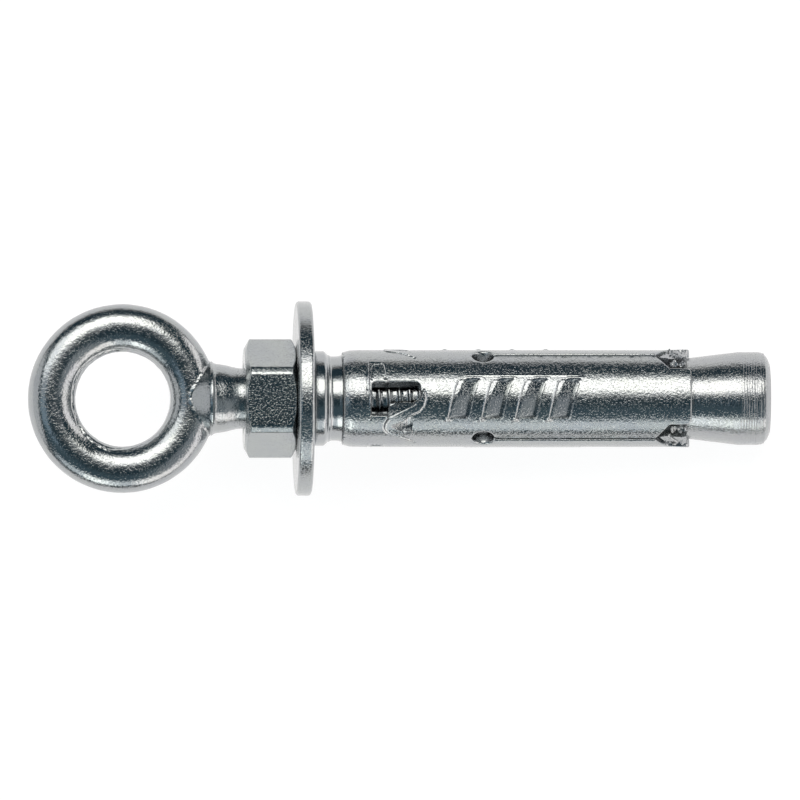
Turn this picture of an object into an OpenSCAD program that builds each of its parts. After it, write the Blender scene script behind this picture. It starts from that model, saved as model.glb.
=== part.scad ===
// Eye anchor: an eye bolt with nut, washer, collar, slit expansion sleeve and cone nut.
// Every piece is drawn along its own axis first: u runs from the eye (negative) through the
// washer's wall face (u = 0) to the tip (positive). The whole anchor is then laid down so that
// it rests on the rim of the washer and the rim of the cone nut, as it lies on a table.

/* [Eye] */
// Diameter of the round section of the ring
eye_section_d = 5.8; // [5.4:0.1:6.2]
// Radius from the eye's centre to the middle of the ring's section
eye_mean_r = 8.65; // [8.4:0.05:9]
// Radius of the trimmed hole through the ring
eye_hole_r = 5.85; // [5.8:0.05:6.3]
// Distance from the eye's centre to the washer's wall face
eye_reach = 23.1; // [22.8:0.1:24]

/* [Bolt] */
// Radius of the plain neck next to the nut
neck_r = 3.7; // [3.4:0.05:3.9]
// Radius of the ridge where the neck flares out against the ring
ridge_r = 4.55; // [4.2:0.05:4.8]
// Distance from the ridge to the washer's wall face
ridge_reach = 12.2; // [11.8:0.1:12.6]
// Outer radius of the threaded shank
shank_r = 3.97; // [3.9:0.01:3.98]
// Distance from the washer's wall face to the bolt's end
bolt_reach = 54.5; // [53:0.5:55.5]
// Pitch of the thread, which sets how far a turn moves a nut
pitch = 1.25; // [1:0.25:1.25]

/* [Nut] */
// Width across the flats
nut_af = 13; // [12.8:0.1:13]
// Radius that the nut's corners are turned down to
nut_corner_r = 7.2; // [7.1:0.05:7.35]
// Thickness of the nut
nut_t = 6.3; // [5.5:0.1:6.3]
// Radius of the nut's bore, clear of the shank by a running fit
nut_bore_r = 4.03; // [4.01:0.01:4.06]
// Turn of the nut about the bolt, in degrees
nut_roll = 1.5; // [0:0.5:10]

/* [Washer] */
// Outer radius of the washer
washer_r = 11.9; // [11.5:0.1:12]
// Thickness of the washer
washer_t = 1.9; // [1.6:0.1:1.9]
// Radius of the washer's hole
washer_hole_r = 4.2; // [4.1:0.05:4.5]
// Rounding of the washer's outer edges
washer_edge = 0.4; // [0.2:0.05:0.6]
// Gap between the washer and the collar
washer_gap = 0.3; // [0.2:0.05:0.5]

/* [Collar] */
// Outer radius of the collar's shoulder
collar_r = 5.8; // [5.5:0.05:5.9]
// Radius at the bottom of the collar's groove
collar_groove_r = 5.16; // [5:0.02:5.4]
// Radius of the collar's bore
collar_bore_r = 4.25; // [4.1:0.05:4.4]
// Distance from the washer's wall face to the collar's far end
collar_reach = 3.7; // [3.5:0.05:3.7]

/* [Sleeve] */
// Outer radius of the sleeve
sleeve_r = 5.93; // [5.85:0.01:6]
// Bore radius of the sleeve behind the cone
sleeve_bore_r = 4.55; // [4.4:0.05:4.7]
// Start and end of the sleeve along the bolt
sleeve_from = 3.75; // [3.75:0.05:4]
sleeve_to = 46.3; // [46:0.1:46.6]
// Number of segments that the slots make
segments = 3; // [2:1:3]
// Turn of the slots about the bolt, in degrees
slot_roll = 3; // [0:1:6]
// Width of each slot
slot_w = 0.4; // [0.3:0.05:0.6]
// Place of the round relief hole at each slot's root
relief_at = 20.9; // [20.5:0.1:21.5]
// Diameter of the relief holes
relief_d = 2.65; // [2.4:0.05:2.8]
// Where each slot starts to open into its notch
notch_from = 42; // [42:0.1:42.4]
// Half width of a notch at its shoulder
notch_half = 2.45; // [2.4:0.05:2.55]
// Where the cone starts to splay the segments outwards
splay_from = 43.3; // [43:0.1:43.4]
// How far the segments are splayed at the sleeve's end
splay = 0.05; // [0.02:0.01:0.1]

/* [Ribs] */
// Number of pressed ribs on each segment
rib_count = 4; // [2:1:5]
// Distance from rib to rib along the bolt
rib_pitch = 4.16; // [4:0.02:4.4]
// Where the first rib starts
rib_at = 17.35; // [17:0.05:17.6]
// Width of the pressed recess behind each rib
rib_w = 2.4; // [2:0.1:2.8]
// Depth of the recess
rib_depth = 0.2; // [0.1:0.05:0.3]
// How far the sharp edge of a rib stands out at its higher end
rib_proud = 0.13; // [0.05:0.01:0.13]
// Half length of a rib across the segment
rib_half = 2.6; // [2.2:0.1:2.8]
// How far a rib leans along the bolt from end to end
rib_lean = 1.56; // [1:0.02:2]

/* [Windows] */
// Start and end of the window along the bolt
window_from = 7.18; // [6.8:0.02:7.6]
window_to = 13.18; // [12.8:0.02:13.5]
// Half width of the window
window_half = 2.14; // [1.9:0.02:2.3]
// Where the folded tab starts in the window
tab_from = 9.3; // [8.8:0.1:9.9]
// How far the pressed tab stands out of the sleeve
tab_proud = 0.13; // [0.05:0.01:0.13]

/* [Cone nut] */
// Where the thin end of the cone starts
cone_from = 42; // [41.5:0.1:42.5]
// Radius of the cone's thin end
cone_thin_r = 4.44; // [4.4:0.01:4.5]
// Rise of the cone for each millimetre along the bolt
cone_slope = 0.122; // [0.11:0.002:0.125]
// Where the cone runs into the cylinder
cone_to = 52; // [51:0.5:53]
// Radius of the cylinder at the tip
tip_r = 5.69; // [5.67:0.01:5.75]
// Distance from the washer's wall face to the tip's end face
tip_reach = 56.05; // [55.9:0.05:56.5]
// Rounding of the tip's edge
tip_edge = 1.6; // [1.2:0.1:1.7]
// Clearance between the cone and the sleeve's segments
cone_clear = 0.06; // [0.05:0.01:0.1]
// Outer radius of the lugs that sit in the sleeve's notches
lug_r = 6.17; // [6:0.01:6.18]
// Half width of each lug
lug_half = 2; // [1.6:0.05:2]

/* [Hidden] */
$fn = 96;
eps = 0.01;

zinc = "#c9cdd0";
zinc_nut = "#bfc5c8";
zinc_washer = "#d3d6d8";
zinc_sleeve = "#b9c2c6";

// The anchor lies on two rims: the washer's wall-side edge and the cone nut's end edge.
// Each rim is a rounded edge, so its lowest point is its rounding's centre plus the radius.
washer_c = washer_r - washer_edge;
tip_c_u = tip_reach - tip_edge;
tip_c_r = tip_r - tip_edge;
rest_a = tip_c_u + washer_edge;
rest_b = washer_c - tip_c_r;
rest_tilt = atan(rest_b / rest_a)
          - asin((tip_edge - washer_edge) / sqrt(rest_a * rest_a + rest_b * rest_b));
axis_height = washer_c * cos(rest_tilt) - washer_edge * sin(rest_tilt) + washer_edge;

// Along X the anchor reaches from the ring's far side to the tip, and the origin is midway.
left_x = -(eye_reach + eye_mean_r) * cos(rest_tilt) - eye_section_d / 2;
right_x = tip_c_u * cos(rest_tilt) + tip_c_r * sin(rest_tilt) + tip_edge;
mid_x = (left_x + right_x) / 2;

slot_step = 360 / segments;
slot_first = slot_step / 2 + slot_roll;

function arc(cu, cr, r, a0, a1, n) =
    [for (i = [0:n]) let (a = a0 + (a1 - a0) * i / n) [cr + r * sin(a), cu + r * cos(a)]];

// Turns a profile of [radius, u] points about the bolt's axis.
module turned(profile) {
    rotate([0, 90, 0]) rotate_extrude() polygon(profile);
}

// Cylinder along the bolt between two stations.
module bar(u0, u1, r) {
    translate([u0, 0, 0]) rotate([0, 90, 0]) cylinder(r = r, h = u1 - u0);
}

// Cone frustum along the bolt between two stations.
module taper(u0, u1, r0, r1) {
    translate([u0, 0, 0]) rotate([0, 90, 0]) cylinder(r1 = r0, r2 = r1, h = u1 - u0);
}

// Copies of a feature about the bolt, the first one facing up and turned by phi.
module around(phi = 0, n = segments) {
    for (k = [0:n - 1]) rotate([-(phi + k * 360 / n), 0, 0]) children();
}

// The pose of the whole anchor at rest.
module laid() {
    translate([-mid_x, 0, axis_height]) rotate([0, rest_tilt, 0]) children();
}

// Ring, flared neck and shank in one forging.
module eye_bolt() {
    neck_len = 4;
    neck_end = ridge_reach - neck_len;
    flare = [for (i = [0:8]) let (s = 1 - i / 8)
        [neck_r + (ridge_r - neck_r) * pow(s, 1.4), -ridge_reach + neck_len * (1 - s)]];
    color(zinc) laid() difference() {
        union() {
            translate([-eye_reach, 0, 0])
                rotate_extrude() translate([eye_mean_r, 0]) circle(d = eye_section_d);
            turned(concat(
                [[0, -ridge_reach - 3.3], [1.9, -ridge_reach - 3.3]],
                flare,
                [[shank_r, -neck_end + pitch * 0.36],
                 [shank_r, bolt_reach - 0.8],
                 [shank_r - 0.8, bolt_reach],
                 [0, bolt_reach]]));
        }
        translate([-eye_reach, 0, -5]) cylinder(r = eye_hole_r, h = 10);
    }
}

// Hexagon nut with its corners turned down and both ends chamfered at thirty degrees.
module hex_nut() {
    far = -washer_t - 0.05;
    near = far - nut_t;
    e_r = nut_af / 2 / cos(30);
    face_r = nut_af / 2 * 0.95;
    rise = (nut_corner_r - face_r) * tan(30);
    color(zinc_nut) laid() difference() {
        intersection() {
            rotate([nut_roll, 0, 0]) translate([near, 0, 0]) rotate([0, 90, 0]) rotate([0, 0, 30])
                cylinder(r = e_r, h = nut_t, $fn = 6);
            turned([[0, near], [face_r, near], [nut_corner_r, near + rise],
                    [nut_corner_r, far - rise], [face_r, far], [0, far]]);
        }
        bar(near - 1, far + 1, nut_bore_r);
        taper(near - eps, near + 0.42, nut_bore_r + 0.43, nut_bore_r);
        taper(far - 0.42, far + eps, nut_bore_r, nut_bore_r + 0.43);
    }
}

// Large flat washer with rounded outer edges.
module washer() {
    color(zinc_washer) laid() turned(concat(
        [[washer_hole_r + 0.15, -washer_t], [washer_hole_r, -washer_t + 0.15],
         [washer_hole_r, -0.15], [washer_hole_r + 0.15, 0]],
        arc(-washer_edge, washer_c, washer_edge, 0, 90, 8),
        arc(-washer_t + washer_edge, washer_c, washer_edge, 90, 180, 8)));
}

// Turned collar: a shoulder against the washer and a shallow groove towards the sleeve.
module collar() {
    u0 = washer_gap;
    color(zinc) laid() turned([
        [collar_bore_r, u0],
        [collar_r - 0.12, u0],
        [collar_r, u0 + 0.12],
        [collar_r, u0 + 1.25],
        [collar_r - 0.14, u0 + 1.5],
        [collar_groove_r + 0.2, u0 + 1.82],
        [collar_groove_r + 0.02, u0 + 2.2],
        [collar_groove_r, u0 + 2.6],
        [collar_groove_r + 0.12, collar_reach],
        [collar_bore_r, collar_reach]]);
}

// One pressed rib in plan: a parallelogram that leans along the bolt.
module rib_plan(at, w) {
    linear_extrude(height = 4) polygon([
        [at - rib_lean / 2, -rib_half], [at - rib_lean / 2 + w, -rib_half],
        [at + rib_lean / 2 + w, rib_half], [at + rib_lean / 2, rib_half]]);
}

// Hollow band about the bolt between two radii, the outer one widening towards the tip.
module band(u0, u1, r0, r1, widen = 0) {
    difference() {
        taper(u0, u1, r1, r1 + widen);
        bar(u0 - 1, u1 + 1, r0);
    }
}

// Window in plan: rounded corners, with a folded tab that fills its lower far corner.
module window_plan() {
    c = 0.9;
    tab_y = -0.6;
    linear_extrude(height = 5) polygon(concat(
        [[window_from, -window_half]],
        [[window_from, window_half - 0.4], [window_from + 0.12, window_half - 0.12],
         [window_from + 0.4, window_half]],
        [for (i = [0:6]) let (a = 90 - 15 * i)
            [window_to - c + c * cos(a), window_half - c + c * sin(a)]],
        [[window_to, 0], [window_to - 0.85, tab_y], [tab_from, tab_y],
         [tab_from - 0.15, -window_half]]));
}

// Pressed tab beside the window, in plan: a leaf that runs down and around the sleeve.
module tab_plan() {
    linear_extrude(height = 4) polygon([
        [8.8, -2.5], [13.6, 0.7], [13.85, 0.1], [13.55, -1.1], [12.7, -2.3],
        [12.6, -4.1], [11.3, -4.55], [9.3, -4.1], [8.7, -3.4]]);
}

// Rolled sleeve slit into segments, opened by the cone at its front end.
module expansion_sleeve() {
    cone_at = function(u) cone_thin_r + cone_slope * (u - cone_from) + cone_clear;
    meet = cone_from + (sleeve_bore_r - cone_clear - cone_thin_r) / cone_slope;
    rib_from = [for (i = [0:rib_count - 1]) rib_at + i * rib_pitch];
    color(zinc_sleeve) laid() difference() {
        union() {
            turned([
                [sleeve_bore_r, sleeve_from],
                [sleeve_r - 0.4, sleeve_from],
                [sleeve_r - 0.22, sleeve_from + 0.3],
                [sleeve_r - 0.06, sleeve_from + 0.85],
                [sleeve_r, sleeve_from + 2.15],
                [sleeve_r, splay_from],
                [sleeve_r + splay, sleeve_to - 0.15],
                [sleeve_r + splay - 0.15, sleeve_to],
                [cone_at(sleeve_to), sleeve_to],
                [sleeve_bore_r, meet]]);
            around() for (u = rib_from) intersection() {
                taper(u - rib_lean / 2 - 0.3, u + rib_lean / 2,
                      sleeve_r + rib_proud * 0.6, sleeve_r + rib_proud);
                translate([0, 0, 5]) rib_plan(u - 0.3, 0.3);
            }
            intersection() {
                band(8, 15, sleeve_r - 0.3, sleeve_r + tab_proud * 0.6, tab_proud * 0.4);
                around() translate([0, 0, 2.5]) tab_plan();
            }
        }
        intersection() {
            band(rib_at - 2, rib_at + rib_count * rib_pitch, sleeve_r - rib_depth, sleeve_r + 2);
            around() for (u = rib_from)
                translate([0, 0, 3]) rib_plan(u, rib_w);
        }
        around() translate([0, 0, 2]) window_plan();
        around(slot_first) {
            translate([relief_at, 0, 2]) cylinder(d = relief_d, h = 6);
            translate([relief_at, -slot_w / 2, 2]) cube([sleeve_to - relief_at + 1, slot_w, 6]);
            translate([0, 0, 2]) linear_extrude(height = 6) polygon([
                [notch_from, -slot_w / 2 + eps], [notch_from, slot_w / 2 - eps],
                [notch_from + 1.6, notch_half], [sleeve_to - 0.9, notch_half + 0.12],
                [sleeve_to - 0.2, notch_half + 0.3], [sleeve_to + 1, notch_half + 1.2],
                [sleeve_to + 1, -notch_half - 1.2], [sleeve_to - 0.2, -notch_half - 0.3],
                [sleeve_to - 0.9, -notch_half - 0.12], [notch_from + 1.6, -notch_half]]);
        }
    }
}

// Cone nut: tapered end inside the sleeve, cylinder and rounded tip outside, and a lug raised
// in each of the sleeve's notches, pinched by two crossing grooves.
module cone_nut() {
    cone_end_r = cone_thin_r + cone_slope * (cone_to - cone_from);
    lug_from = notch_from + 1.35;
    lug_to = sleeve_to - 0.42;
    lug_mid = (lug_from + lug_to) / 2;
    color(zinc) laid() difference() {
        union() {
            turned(concat(
                [[0, cone_from], [cone_thin_r, cone_from], [cone_end_r, cone_to],
                 [tip_r, cone_to + 0.15]],
                [for (i = [0:10]) let (a = 90 - 9 * i)
                    [tip_c_r + tip_edge * sin(a), tip_c_u + tip_edge * cos(a)]],
                [[0, tip_reach]]));
            around(slot_first) difference() {
                intersection() {
                    bar(lug_from, lug_to, lug_r);
                    translate([lug_from, -lug_half, 4.2])
                        cube([lug_to - lug_from, 2 * lug_half, 4]);
                }
                for (s = [-1, 1])
                    translate([lug_mid, 0, lug_r + 0.18]) rotate([0, 0, s * 50])
                        rotate([45, 0, 0]) cube([6, 0.9, 0.9], center = true);
            }
        }
        bar(cone_from - 1, tip_reach + 1, nut_bore_r);
        taper(tip_reach - 0.35, tip_reach + eps, nut_bore_r, nut_bore_r + 0.36);
    }
}

eye_bolt();
hex_nut();
washer();
collar();
expansion_sleeve();
cone_nut();
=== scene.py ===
import bpy
import bmesh
import math
import numpy as np
from mathutils import Matrix, Vector, noise
from mathutils.geometry import delaunay_2d_cdt


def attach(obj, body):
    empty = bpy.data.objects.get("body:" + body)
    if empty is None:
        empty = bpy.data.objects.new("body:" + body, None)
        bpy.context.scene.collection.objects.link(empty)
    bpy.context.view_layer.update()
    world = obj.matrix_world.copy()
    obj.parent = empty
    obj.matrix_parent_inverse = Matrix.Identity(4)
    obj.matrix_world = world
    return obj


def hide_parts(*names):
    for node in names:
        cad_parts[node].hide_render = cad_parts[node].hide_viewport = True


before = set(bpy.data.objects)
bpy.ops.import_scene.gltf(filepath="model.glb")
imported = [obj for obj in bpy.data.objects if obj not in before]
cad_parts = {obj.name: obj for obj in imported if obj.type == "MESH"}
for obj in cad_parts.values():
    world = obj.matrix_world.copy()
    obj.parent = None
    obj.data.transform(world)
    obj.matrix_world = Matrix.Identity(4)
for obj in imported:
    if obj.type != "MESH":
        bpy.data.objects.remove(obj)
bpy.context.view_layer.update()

# The anchor's own axes: u along the bolt from the washer's wall face, y across, z up off the
# table. Lengths are in millimetres until a mesh is laid into the frame.
TILT = math.radians(6.451512)
CT, ST = math.cos(TILT), math.sin(TILT)
MID, HIGH = 10.857905, 11.782229
PITCH = 1.25
TAU = 2 * math.pi


def laid(p):
    p = np.asarray(p, float)
    u, y, z = p[:, 0], p[:, 1], p[:, 2]
    return np.stack([-MID + u * CT + z * ST, y, HIGH - u * ST + z * CT], 1) / 1000


def smooth(x, a, b):
    t = np.clip((np.asarray(x, float) - a) / (b - a), 0, 1)
    return t * t * (3 - 2 * t)


def hashed(n, seed):
    return np.random.default_rng(seed).random(n)


def waves(p, scale, seed, octaves=2):
    """Smooth noise at points in millimetres, about -1 to 1."""
    off = Vector((seed * 7.31, seed * 3.17, seed * 1.73))
    return np.array([noise.fractal(Vector(q) * scale + off, 1.0, 2.0, octaves) for q in p])


# ---------------------------------------------------------------- meshes

def piece(name, verts, faces, body, node, mat, sharp=34, weld=2e-7):
    me = bpy.data.meshes.new(name)
    me.from_pydata(laid(verts).tolist(), [], [tuple(int(i) for i in f) for f in faces])
    bm = bmesh.new()
    bm.from_mesh(me)
    bmesh.ops.remove_doubles(bm, verts=bm.verts, dist=weld)
    bmesh.ops.dissolve_degenerate(bm, edges=bm.edges, dist=weld)
    loose = [v for v in bm.verts if not v.link_faces]
    bmesh.ops.delete(bm, geom=loose, context="VERTS")
    bmesh.ops.recalc_face_normals(bm, faces=bm.faces)
    open_edges = sum(1 for e in bm.edges if len(e.link_faces) != 2)
    bm.to_mesh(me)
    bm.free()
    me.shade_smooth()
    me.set_sharp_from_angle(angle=math.radians(sharp))
    ob = bpy.data.objects.new(name, me)
    bpy.context.scene.collection.objects.link(ob)
    me.materials.append(mat)
    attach(ob, body)
    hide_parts(node)
    print("piece", name, len(me.polygons), "faces", "open edges", open_edges)
    return ob


def turned_grid(rows, cols):
    """Faces of a grid whose rows run round the bolt; the last row joins the first."""
    out = []
    for j in range(rows):
        a, b = j * cols, ((j + 1) % rows) * cols
        for i in range(cols):
            k = (i + 1) % cols
            out.append((a + i, a + k, b + k, b + i))
    return out


def arc(cu, cr, r, a0, a1, n):
    a = np.radians(np.linspace(a0, a1, n + 1))
    return [(cr + r * math.sin(t), cu + r * math.cos(t)) for t in a]


def refine(profile, step):
    """Adds points along a profile's long straight runs, so that shading and noise stay even."""
    out = []
    n = len(profile)
    for i in range(n):
        (r0, u0), (r1, u1) = profile[i], profile[(i + 1) % n]
        k = max(1, int(math.hypot(r1 - r0, u1 - u0) / step))
        out += [(r0 + (r1 - r0) * j / k, u0 + (u1 - u0) * j / k) for j in range(k)]
    return out


def ring_piece(profile, cols, wobble=None):
    """A closed profile of (radius, u) turned about the bolt."""
    a = np.arange(cols) / cols * TAU
    v = []
    for r, u in profile:
        rr = np.full(cols, r)
        uu = np.full(cols, u)
        v.append(np.stack([uu, rr * np.sin(a), rr * np.cos(a)], 1))
    v = np.concatenate(v)
    if wobble is not None:
        v = wobble(v)
    return v, turned_grid(len(profile), cols)


def thread_r(u, th, crest, root, at):
    """Radius of a right-hand thread at station u and angle th, measured from up towards +y."""
    f = ((u - at) / PITCH + th / TAU) % 1.0
    d = np.abs(f - np.round(f)) * PITCH
    k = np.interp(d, [0, 0.05, 0.10, 0.20, 0.27, 0.40, 0.625], [-0.01, 0.0, 0.06, 0.80, 0.91, 0.98, 1.0])
    return crest - (crest - root) * k


# ---------------------------------------------------------------- eye bolt

THREAD_AT = 8.18


def bolt_rows():
    """Threaded shank: rows that follow the helix, squeezed flat at both ends."""
    cols = 84
    ua, ub = -8.2, 54.5
    marks = [-0.27, -0.20, -0.15, -0.10, -0.05, 0.0, 0.05, 0.10, 0.15, 0.20, 0.27, 0.40, 0.625, 0.85]
    turns = int((ub - ua) / PITCH) + 3
    w = np.array([THREAD_AT - 14 * PITCH + k * PITCH + m for k in range(turns + 1) for m in marks])
    w.sort()
    th = np.arange(cols + 1) / cols * TAU
    U = w[:, None] - PITCH * th[None, :] / TAU
    keep = (U.max(1) > ua) & (U.min(1) < ub)
    first, last = np.where(keep)[0][[0, -1]]
    U = np.clip(U[max(first - 1, 0):last + 2], ua, ub)
    T = np.broadcast_to(th, U.shape)
    r = thread_r(U, T, 3.97, 3.42, THREAD_AT)
    fade = smooth(U, -7.9, -5.6)
    r = 3.9 + (r - 3.9) * fade
    r = r + (3.7 - r) * smooth(-U, 7.55, 8.2)
    r = np.minimum(r, 3.97 - np.clip(U - 53.7, 0, 1))
    v = np.stack([U, r * np.sin(T), r * np.cos(T)], -1)
    return v


def eye_bolt():
    # ring: a round section with a trimmed land round the hole, and the die's flash line above it
    R, s = 8.65, 2.9
    al = np.concatenate([np.radians(np.linspace(-33, 33, 93)), np.radians(np.linspace(33, 327, 181))[1:-1]])
    n_a = len(al)
    deg = np.degrees(al)
    rad = np.radians
    bs = np.concatenate([np.linspace(-161, -100, 13), np.linspace(-100, 20, 21)[1:], np.linspace(20, 95, 28)[1:],
                         np.linspace(95, 161, 36)[1:]])
    n_s, h_s = 2.2, 0.93 * s

    def full(x, size):
        return size * math.copysign(abs(x) ** (2 / n_s), x)

    sec = [(R + full(math.cos(rad(b)), s), full(math.sin(rad(b)), h_s)) for b in bs]
    z1 = full(math.sin(rad(161)), h_s)
    land = [(None, z) for z in np.linspace(z1, -z1, 15)[1:-1]]
    hole = 5.79 + 0.06 * np.cos(al) - 0.10 * np.sin(al)

    def bell(c, w):
        d = (deg - c + 180) % 360 - 180
        return np.exp(-(d / w) ** 2)

    def along(seed, freq):
        return np.array([noise.noise(Vector((math.cos(a) * freq, math.sin(a) * freq, seed))) for a in al])

    flash_z = np.interp(deg % 360, [0, 60, 90, 146, 200, 230, 255, 290, 360], [1.0, 1.1, 1.25, 1.65, 1.55, 1.85, 1.95, 1.3, 1.0])
    flash_z = flash_z + 0.05 * along(1.7, 14) + 0.035 * along(4.1, 40)
    strong = 0.15 + 0.75 * bell(165, 22) + 1.25 * bell(222, 30) + 0.8 * bell(112, 18)
    strong = strong * (0.85 + 0.9 * along(7.3, 26))
    ragged, fine = along(3.3, 9), along(5.3, 31)
    v = []
    for k, (rho, z) in enumerate(sec + land):
        round_rho = R - s * max(1 - (abs(z) / h_s) ** n_s, 0) ** (1 / n_s)
        if rho is None or (rho < R and abs(z) < 1.05):
            q = float(smooth(abs(z), 0.5, 1.05))
            rr = hole + (round_rho - hole) * q
            rr = rr - (1 - q) * (0.035 * ragged + 0.025 * fine)
        else:
            rr = np.full(n_a, rho)
        v.append(np.stack([-23.1 + rr * np.cos(al), rr * np.sin(al), np.full(n_a, z)], 1))
    v = np.concatenate(v)
    bump = waves(v, 0.55, 3, 3)
    grit = waves(v, 2.3, 9, 2)
    c = v - np.array([-23.1, 0, 0])
    rad_c = np.hypot(c[:, 0], c[:, 1])
    core = np.stack([c[:, 0] / rad_c * R, c[:, 1] / rad_c * R, np.zeros(len(v))], 1)
    out = c - core
    out /= np.linalg.norm(out, axis=1)[:, None]
    m = len(sec) + len(land)
    fz, st = np.tile(flash_z, m), np.tile(strong, m)
    inner = (rad_c < R - 0.6) & (v[:, 2] > -0.6)
    gap = v[:, 2] - fz
    ridge = 0.18 * np.exp(-(gap / 0.10) ** 2) - 0.15 * np.exp(-((gap + 0.25) / 0.13) ** 2)
    push = 0.018 * bump - 0.012 + 0.006 * grit + np.where(inner, ridge * np.clip(st, 0, 1.4), 0)
    # a rough bead where the neck leaves the ring
    rr = np.hypot(v[:, 1], v[:, 2])
    neck_r = np.interp(v[:, 0], [-15.6, -15.4, -14.0, -12.95, -12.3, -12.16], [0.5, 2.1, 3.3, 4.1, 4.52, 4.55])
    away = (rr - neck_r) * 0.8
    bead = np.where((v[:, 0] > -15.5) & (v[:, 0] < -11.5), np.exp(-((away - 0.02) / 0.14) ** 2), 0)
    lump = waves(v, 1.9, 31, 2)
    push = push + bead * np.clip(0.08 + 0.12 * lump, 0.01, 0.19)
    v = v + out * push[:, None]
    ring_v, ring_f = v, turned_grid(m, n_a)

    # neck: a conical facet off the ring, a ridge, and a flare down to the plain neck
    prof = [(0.0, -15.9), (2.1, -15.4), (2.7, -14.7), (3.3, -14.0), (3.7, -13.48), (4.1, -12.95), (4.42, -12.52),
            (4.50, -12.36), (4.54, -12.24), (4.55, -12.16), (4.50, -12.10), (4.40, -11.98), (4.30, -11.82),
            (4.245, -11.6), (4.21, -11.35), (4.175, -11.1), (4.14, -10.85), (4.10, -10.6), (4.05, -10.35),
            (3.985, -10.1), (3.92, -9.85), (3.86, -9.6), (3.80, -9.35), (3.75, -9.1), (3.715, -8.85),
            (3.70, -8.55), (3.70, -8.2)]
    cols = 84
    th = np.arange(cols) / cols * TAU
    nv, rows = [(prof[0][1], 0, 0)], 0
    for r, u in prof[1:]:
        rough = np.array([noise.noise(Vector((math.cos(t) * 2.2, math.sin(t) * 2.2, u * 0.5))) for t in th])
        rr = r + (0.03 if u < -12.2 else 0.016 if u < -8.6 else 0) * rough
        nv += np.stack([np.full(cols, u), rr * np.sin(th), rr * np.cos(th)], 1).tolist()
        rows += 1
    nf = [(0, 1 + i, 1 + (i + 1) % cols) for i in range(cols)]
    for j in range(rows - 1):
        a, b = 1 + j * cols, 1 + (j + 1) * cols
        nf += [(a + i, b + i, b + (i + 1) % cols, a + (i + 1) % cols) for i in range(cols)]
    end = len(nv)
    nv.append((prof[-1][1], 0, 0))
    a = 1 + (rows - 1) * cols
    nf += [(end, a + (i + 1) % cols, a + i) for i in range(cols)]

    def closed(name, verts, faces):
        me = bpy.data.meshes.new(name)
        me.from_pydata([tuple(p) for p in np.asarray(verts, float)], [], [tuple(f) for f in faces])
        bm = bmesh.new()
        bm.from_mesh(me)
        bmesh.ops.recalc_face_normals(bm, faces=bm.faces)
        bm.to_mesh(me)
        bm.free()
        ob = bpy.data.objects.new(name, me)
        bpy.context.scene.collection.objects.link(ob)
        return ob

    a_ob, b_ob = closed("tmp_ring", ring_v, ring_f), closed("tmp_neck", nv, nf)
    mod = a_ob.modifiers.new("join", "BOOLEAN")
    mod.operation, mod.solver, mod.object = "UNION", "EXACT", b_ob
    bpy.context.view_layer.update()
    got = a_ob.evaluated_get(bpy.context.evaluated_depsgraph_get()).to_mesh()
    bm = bmesh.new()
    bm.from_mesh(got)
    u_end = prof[-1][1]
    cap = [f for f in bm.faces if all(abs(x.co.x - u_end) < 1e-5 for x in f.verts)]
    bmesh.ops.delete(bm, geom=cap, context="FACES")
    bm.verts.ensure_lookup_table()
    base = np.array([x.co[:] for x in bm.verts])
    faces = [tuple(x.index for x in f.verts) for f in bm.faces]
    bm.free()
    for o in (a_ob, b_ob):
        m = o.data
        bpy.data.objects.remove(o)
        bpy.data.meshes.remove(m)

    sh = bolt_rows()
    rows, c1 = sh.shape[:2]
    n0 = len(base)
    sf = []
    for j in range(rows - 1):
        for i in range(c1 - 1):
            q = [n0 + j * c1 + i, n0 + (j + 1) * c1 + i, n0 + (j + 1) * c1 + i + 1, n0 + j * c1 + i + 1]
            sf.append(tuple(q))
    end = n0 + rows * c1
    last = n0 + (rows - 1) * c1
    sf += [(end, last + i + 1, last + i) for i in range(c1 - 1)]
    verts = np.concatenate([base, sh.reshape(-1, 3), [[54.5, 0, 0]]])
    return verts, faces + sf


# ---------------------------------------------------------------- nut

def hex_outline(af, corner_r, roll):
    """Points of a hexagon whose corners are turned down to a radius, flats facing +z at roll 0."""
    out = []
    for k in range(6):
        for deg in np.concatenate([np.linspace(-24.2, 24.2, 19), np.linspace(25.0, 35.0, 11)]):
            flat = af / 2 / math.cos(math.radians((deg + 30) % 60 - 30))
            r = min(flat, corner_r) - 0.03 * math.log(1 + math.exp(-abs(flat - corner_r) / 0.03))
            at = math.radians(roll + 60 * k + deg)
            out.append((r * math.sin(at), r * math.cos(at)))
    return np.array(out)


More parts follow.
